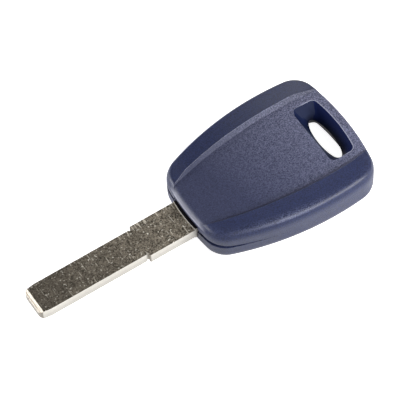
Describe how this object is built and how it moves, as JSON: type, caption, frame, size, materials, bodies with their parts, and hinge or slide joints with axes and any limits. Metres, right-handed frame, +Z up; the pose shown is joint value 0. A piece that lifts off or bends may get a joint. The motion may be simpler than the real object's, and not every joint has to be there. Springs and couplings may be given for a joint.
{
  "type": "transponder key",
  "caption": "Transponder key with a plain uncut blade, a domed two-part plastic head with a sunken grip panel, and a ring hole.",
  "frame": {"origin": "middle of the key's length and width, on the flat back it lies on", "axes": "+X from the blade's tip to the ring hole, +Y across the head, +Z up from the back to the sunken grip panel"},
  "size_m": [0.0794, 0.0322, 0.0099],
  "materials": {
    "head_plastic": "dark blue moulded plastic, fine matte grain on the panel and smooth on the flanks",
    "plated_brass": "brass with a worn nickel plating, fine grain along the faces",
    "capsule_glass": "clear tinted glass, sealed at both ends",
    "ferrite": "dark ground ferrite",
    "copper_wire": "fine enamelled copper wire, close wound",
    "board": "green glass-fibre board",
    "chip_epoxy": "black cast epoxy"
  },
  "bodies": {
    "root": {"upper_shell": "head_plastic", "lower_shell": "head_plastic", "key_blade": "plated_brass", "glass_capsule": "capsule_glass", "ferrite_core": "ferrite", "antenna_coil": "copper_wire", "chip_board": "board", "transponder_chip": "chip_epoxy"}
  },
  "joints": []
}
